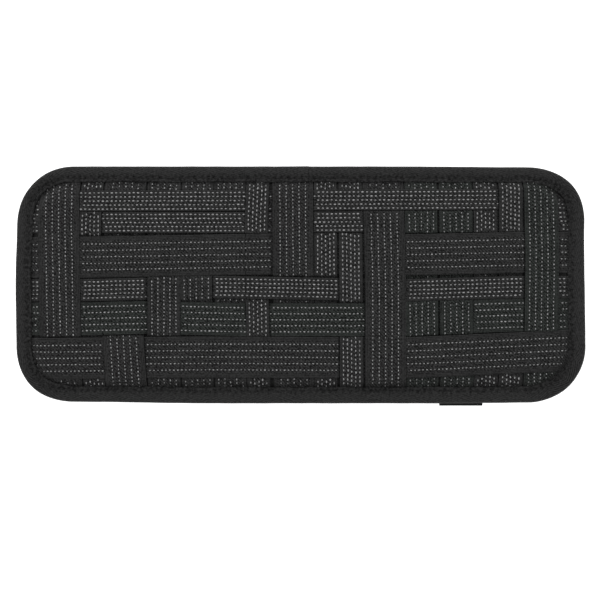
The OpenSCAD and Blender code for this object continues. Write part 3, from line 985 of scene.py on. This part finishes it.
def add_back_panel():
    top_z = cad_box_mm("back_panel")[1][2]
    rows = []

    def add_row(loop, z):
        rows.append(ring_at(loop, z))

    def low(loop):
        x, y = loop.T
        wave = np.sin(x / 21 + 1) * np.sin(y / 15) + 0.6 * np.sin(x / 8 + y / 11)
        return 0.16 + 0.09 * wave

    for d in (EDGE_IN, 6.0, 9.5, 10.2, 11.0, 11.8, 12.6, 13.4, 14.2, 15.5):
        loop = panel_loop(d)
        drop = ease((d - 9.3) / 5.4)
        add_row(loop, lerp(top_z - BACK_RIM_T, low(loop), drop))
    outer, inner = panel_loop(15.5), window_loop(7.0)
    for share in np.arange(1, 12) / 12:
        loop = lerp(outer, inner, share)
        add_row(loop, low(loop))
    # the window's edge: a stitched fold, rounded over into the pocket
    for out_by, z in (
        (7.0, 0), (4.6, 0), (3.4, 0), (2.8, 0.06), (WINDOW_STITCH, 0.28), (1.8, 0.05), (1.3, -0.02),
        (0.7, 0.08), (0.25, 0.3), (0.05, 0.7), (0, 1.2), (0.1, 1.9), (0.3, 2.6), (0.5, 3.1),
    ):
        loop = window_loop(out_by)
        add_row(loop, low(loop) + z)
    for share in (0.0, 0.3, 0.7, 1.0):
        add_row(lerp(window_loop(0.9), panel_loop(FLAT_IN), share), BACK_T)
    add_row(panel_loop(BIND_W), top_z)
    add_row(panel_loop(EDGE_IN), top_z)
    stack = np.stack(rows)
    faces = grid_faces(*stack.shape[:2], wrap_rows=True, wrap_cols=True)
    panel = add_piece("padded_back", stack, faces, BACK, replaces=["back_panel"])
    # topstitching round the window
    loop = window_loop(WINDOW_STITCH)
    closed = np.vstack([loop, loop[:1]])
    walked = np.concatenate([[0], np.cumsum(np.hypot(*np.diff(closed, axis=0).T))])
    places = np.arange(1.0, walked[-1], 3.0)

    def at(places):
        return np.column_stack([np.interp(places, walked, closed[:, k]) for k in (0, 1)])

    along = np.column_stack([at(places + 0.2) - at(places), 0 * places])
    along /= np.linalg.norm(along, axis=1, keepdims=True)
    z = low(at(places)) + 0.26
    add_stitches("window_stitches", np.column_stack([at(places), z]), along, 2.3)


def bar_along_x(section, x0, x1, steps):
    """A closed section of (y, z) points carried straight along X."""
    path = np.column_stack([np.linspace(x0, x1, steps), np.zeros((steps, 2))])
    return sweep(path, section, (0, 1, 0))


def add_zip_tapes():
    near, far = zip_lo[1] - ZIP_Y, zip_hi[1] - ZIP_Y
    low, high = zip_lo[2], zip_hi[2]
    # a woven cord runs along the tape just outside the coil
    under = [
        (near, low + 0.1), (near + 0.3, low), (3.5, low), (3.8, low - 0.12), (4.2, low - 0.14),
        (4.6, low - 0.02), (4.9, low), (5.3, low - 0.06), (5.7, low), (far - 0.4, low), (far, low + 0.2),
    ]
    over = [(far - 0.4, high), (near + 0.3, high), (near, high - 0.1)]
    for name, side in (("upper", 1), ("lower", -1)):
        section = [(ZIP_Y + side * y, z) for y, z in under + over]
        verts, faces = bar_along_x(section, zip_lo[0], zip_hi[0], 140)
        add_piece("woven_zip_tape_" + name, verts, faces, ZIP_TAPE,
                  replaces=["zip_tape_" + name], coords=verts[:, :2])


TOOTH_PITCH = 1.25
WIRE_R = 0.27


def coil_path(side, shift):
    """Centre line of one half of the coil: legs run to an interlocking head and back, turn after turn."""
    low, high = coil_lo[2] + WIRE_R + 0.02, coil_hi[2] - WIRE_R - 0.02
    mid = (low + high) / 2
    heel = coil_hi[1] - ZIP_Y - WIRE_R
    head = -0.35
    turn = [
        (0.0, heel, mid), (0.05, heel - 0.3, low), (0.14, 1.5, low), (0.2, 0.35, low),
        (0.24, head + 0.12, low + 0.1), (0.25, head, mid), (0.26, head + 0.12, high - 0.1),
        (0.3, 0.35, high), (0.55, 1.5, high), (0.9, heel - 0.3, high),
    ]
    count = int((coil_hi[0] - coil_lo[0] - 0.6) / TOOTH_PITCH) - 1
    path = []
    for k in range(count):
        for share, y, z in turn:
            path.append((coil_lo[0] + 0.3 + shift + (k + share) * TOOTH_PITCH, ZIP_Y + side * y, z))
    return np.array(path)


def add_coils():
    for name, side, shift in (("upper", 1, 0.0), ("lower", -1, TOOTH_PITCH / 2)):
        verts, faces = sweep(coil_path(side, shift), circle(WIRE_R, 6), (1, 0, 0))
        add_piece("nylon_coil_" + name, verts, faces, COIL, replaces=["zip_coil_" + name])


def add_metal(name, parts, node, body="organizer"):
    verts, faces = join_parts(parts)
    add_piece(name, verts, faces, METAL, body=body, replaces=[node], weld=True)


def add_end_stops():
    lo, hi = cad_box_mm("zip_end_stops")
    thick = hi[2] - lo[2]
    middle_z = (hi[2] + lo[2]) / 2
    length = coil_lo[0] - lo[0] - 0.1
    reach = hi[1] - ZIP_Y
    closed_x, open_x = lo[0] + length / 2, hi[0] - length / 2
    counts = (6, 6, 5)
    leg = round_box_loop(length / 2, (reach - 0.6) / 2, 0.45, counts=counts)
    bar = round_box_loop(length / 2, reach, 0.5, counts=counts)
    leg_y = (reach + 0.6) / 2
    parts = [plate([leg], thick, (closed_x, ZIP_Y + side * leg_y, middle_z), 0.25) for side in (-1, 1)]
    parts.append(plate([bar], thick, (open_x, ZIP_Y, middle_z), 0.25))
    add_metal("metal_end_stops", parts, "zip_end_stops")


def slider_plan(width):
    """Outline of a slider plate about its middle, nose towards -X."""
    w = width / 2
    half = (slider_hi - slider_lo)[0] / 2
    upper = [
        (-half + 0.5, 0.5), (-half + 0.05, 1.5), (-half + 0.1, w - 1.4), (-half + 0.9, w - 0.35),
        (-half + 2.2, w), (-1.5, w - 0.12), (0.5, w - 0.4), (3.0, w - 0.65), (half - 0.7, w - 0.75),
        (half - 0.05, w - 1.3),
    ]
    return smooth_loop(upper + [(x, -y) for x, y in upper[::-1]])


def add_slider():
    x, width = (slider_lo + slider_hi)[0] / 2, (slider_hi - slider_lo)[1]
    outer_t, inner_t = 0.6, 0.5
    outer_z = coil_lo[2] - 0.15 - outer_t / 2
    inner_z = slider_hi[2] - inner_t / 2
    parts = [
        plate([slider_plan(width)], outer_t, (x, ZIP_Y, outer_z), 0.16),
        plate([slider_plan(width - 1)], inner_t, (x, ZIP_Y, inner_z), 0.14),
    ]
    # rolled flanges that keep the coil between the plates
    wall_h = 1.45
    wall = round_box_loop(3.1, 0.3, 0.28, counts=(10, 2, 4))
    for side in (-1, 1):
        parts.append(plate([wall], wall_h, (x + 0.4, ZIP_Y + side * 3.6, outer_z + 0.1 + wall_h / 2), 0.1))
    # divider that joins the plates and parts the coil
    divider = smooth_loop([(-4.7, 0), (-4.2, 0.3), (-3.0, 0.34), (-1.7, 0), (-3.0, -0.34), (-4.2, -0.3)], 5)
    parts.append(plate([divider], inner_z - outer_z, (x, ZIP_Y, (inner_z + outer_z) / 2), 0.05))
    # crown over the pull's pin: all of it but its foot in the plate is moved to the bar's height
    drawn_z, foot_z, bar_z = 0.525, 1.5, slider_lo[2] + 0.225
    arch = [
        (-2.75, outer_z), (-2.72, 1.35), (-2.62, 0.98), (-2.35, 0.7), (-1.9, 0.56), (-1.2, 0.53),
        (0, drawn_z),
    ]
    arch = [(px, pz - drawn_z + bar_z) if pz < foot_z else (px, pz) for px, pz in arch]
    arch += [(-px, pz) for px, pz in arch[-2::-1]]
    path = [(x + px, ZIP_Y, pz) for px, pz in arch]
    section = round_box_loop(1.0, 0.2, 0.12, counts=(4, 1, 3))
    parts.append(sweep(path, section, (0, 1, 0)))
    add_metal("slider_shell", parts, "zip_slider", body="slider")


def add_pull():
    pin_x = (slider_lo + slider_hi)[0] / 2
    pin_z = (pull_lo + pull_hi)[2] / 2
    width, length = (pull_hi - pull_lo)[1], pull_hi[0] - pin_x
    thick = 0.6
    w = width / 2
    upper = [
        (-0.25, w - 0.75), (0.3, w - 0.55), (3.6, w - 0.62), (5.0, w - 0.15), (6.2, w),
        (length / 2 + 2, w - 0.12), (length - 2.6, w), (length - 0.7, w - 0.9), (length, 0.0),
    ]
    outline = smooth_loop(upper + [(px, -py) for px, py in upper[-2::-1]])
    crown_hole = round_box_loop(1.65, 1.4, 0.5, (2.05, 0), counts=(8, 6, 5))
    grip = round_box_loop(2.7, 1.7, 0.8, (8.6, 0), counts=(8, 6, 5))
    tip_hole = circle(1.2, 20) + (length - 4, 0)
    at = (pin_x, ZIP_Y, pin_z)
    web = round_box_loop(3.0, 2.0, 0.8, (8.6, 0), counts=(8, 6, 5))
    parts = [plate([outline, crown_hole, grip, tip_hole], thick, at, 0.13), plate([web], 0.3, at, 0.05)]
    pin = [(pin_x, ZIP_Y + y, pin_z) for y in np.linspace(-2.4, 2.4, 5)]
    parts.append(sweep(pin, circle(0.3, 14), (1, 0, 0)))
    add_metal("pull_tag", parts, "zip_pull", body="pull")


# ---- Label ----

def add_label():
    """A blank tape folded in two, sewn to the back of the lower edge."""
    ply = 0.4
    radius = (label_hi - label_lo)[2] / 2
    mid_z = (label_hi + label_lo)[2] / 2
    fold_y, sewn_y = label_lo[1] - 0.4 + radius, label_hi[1]
    half_y = (sewn_y + fold_y) / 2

    def folded(r):
        """(y, z) points from the upper sewn end round the fold, at a distance r from the middle."""
        turn = np.linspace(math.pi / 2, 3 * math.pi / 2, 13)
        fold = [(fold_y + r * math.cos(a), mid_z + r * math.sin(a)) for a in turn]
        return [(sewn_y, mid_z + r), (half_y, mid_z + r)] + fold + [(half_y, mid_z - r), (sewn_y, mid_z - r)]

    x = np.linspace(label_lo[0], label_hi[0], 40)
    section = np.array(folded(radius) + folded(radius - ply)[::-1])
    rings = np.zeros((len(x), len(section), 3))
    rings[..., 0] = x[:, None]
    rings[..., 1:] = section
    ripple = 0.12 * np.sin(x / 4.1) + 0.05 * np.sin(x / 1.3)
    rings[..., 1] += ripple[:, None] * ease((sewn_y - section[:, 1]) / 8)
    length = np.concatenate([[0], np.cumsum(np.hypot(*np.diff(section, axis=0).T))])
    coords = np.stack(np.broadcast_arrays(x[:, None], length[None]), -1)
    add_piece("blank_label", rings, capped_quads(rings), LABEL, replaces=["label_tab"],
              coords=coords)
    low_z = mid_z - radius - 0.02
    row_x = np.arange(label_lo[0] + 1.6, label_hi[0] - 1, 2.4)
    places = [(px, sewn_y - 1.2, low_z) for px in row_x] + [(px, sewn_y - 7.6, low_z) for px in row_x]
    add_stitches("label_stitches", places, [(1, 0, 0)] * len(places), 1.8)


# ---- Floor, light and camera ----

def add_floor():
    size = 6.0
    mesh = bpy.data.meshes.new("floor")
    corners = [(-size, -size), (size, -size), (size, size), (-size, size)]
    mesh.from_pydata([(x, y, -0.3 * MM) for x, y in corners], [], [(0, 1, 2, 3)])
    floor = link_object("floor", mesh)
    n = Nodes("floor", rough=0.9)
    for socket, value in (("Base Color", (0.9, 0.9, 0.9, 1)), ("Emission Color", (1, 1, 1, 1)),
                          ("Emission Strength", 0.75)):
        n.set(n.shader.inputs[socket], value)
    # seen from below, the floor is clear, so that the back of the organizer shows
    side, clear = n.node("NewGeometry", {}, "Backfacing"), n.node("BsdfTransparent", {})
    mix = n.node("MixShader", {0: side, 1: n.shader.outputs[0], 2: clear})
    n.set(n.tree.nodes["Material Output"].inputs["Surface"], mix)
    mesh.materials.append(n.material)


def add_area_light(name, place, size, power):
    light = bpy.data.lights.new(name, "AREA")
    light.shape = "RECTANGLE"
    light.size, light.size_y = size
    light.energy = power
    lamp = link_object(name, light)
    lamp.location = place
    lamp.rotation_euler = (-Vector(place)).to_track_quat("-Z", "Y").to_euler()


def add_light():
    world = bpy.data.worlds.new("studio")
    world.use_nodes = True
    background = world.node_tree.nodes["Background"].inputs
    background["Color"].default_value = (1, 1, 1, 1)
    background["Strength"].default_value = 0.96
    bpy.context.scene.world = world
    add_area_light("key", (-0.3, 1.0, 0.7), (1.2, 0.5), 7.0)
    add_area_light("under", (0.2, -0.4, -0.8), (1.2, 0.8), 3.0)
    settings = bpy.context.scene.view_settings
    settings.view_transform = "Standard"
    settings.look = "None"


def add_camera():
    lens, sensor = 85.0, 36.0
    view_width = 366.4 * MM
    camera = bpy.data.cameras.new("camera")
    camera.lens = lens
    camera.sensor_width = sensor
    camera.clip_start = 0.05
    eye = link_object("camera", camera)
    height = view_width * lens / sensor + RIM_MID_Z * MM
    eye.location = (-0.46 * MM, (MID_Y - 9.46) * MM, height)
    bpy.context.scene.camera = eye


def main():
    add_camera()
    add_light()
    add_floor()
    for strap in make_straps():
        add_strap(strap)
        add_dashes(strap)
    add_binding()
    add_binding_stitches()
    add_layers()
    add_back_panel()
    add_zip_tapes()
    add_coils()
    add_end_stops()
    add_slider()
    add_pull()
    add_label()
    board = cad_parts["stiffener_board"].data.materials
    board.clear()
    board.append(BOARD)


main()
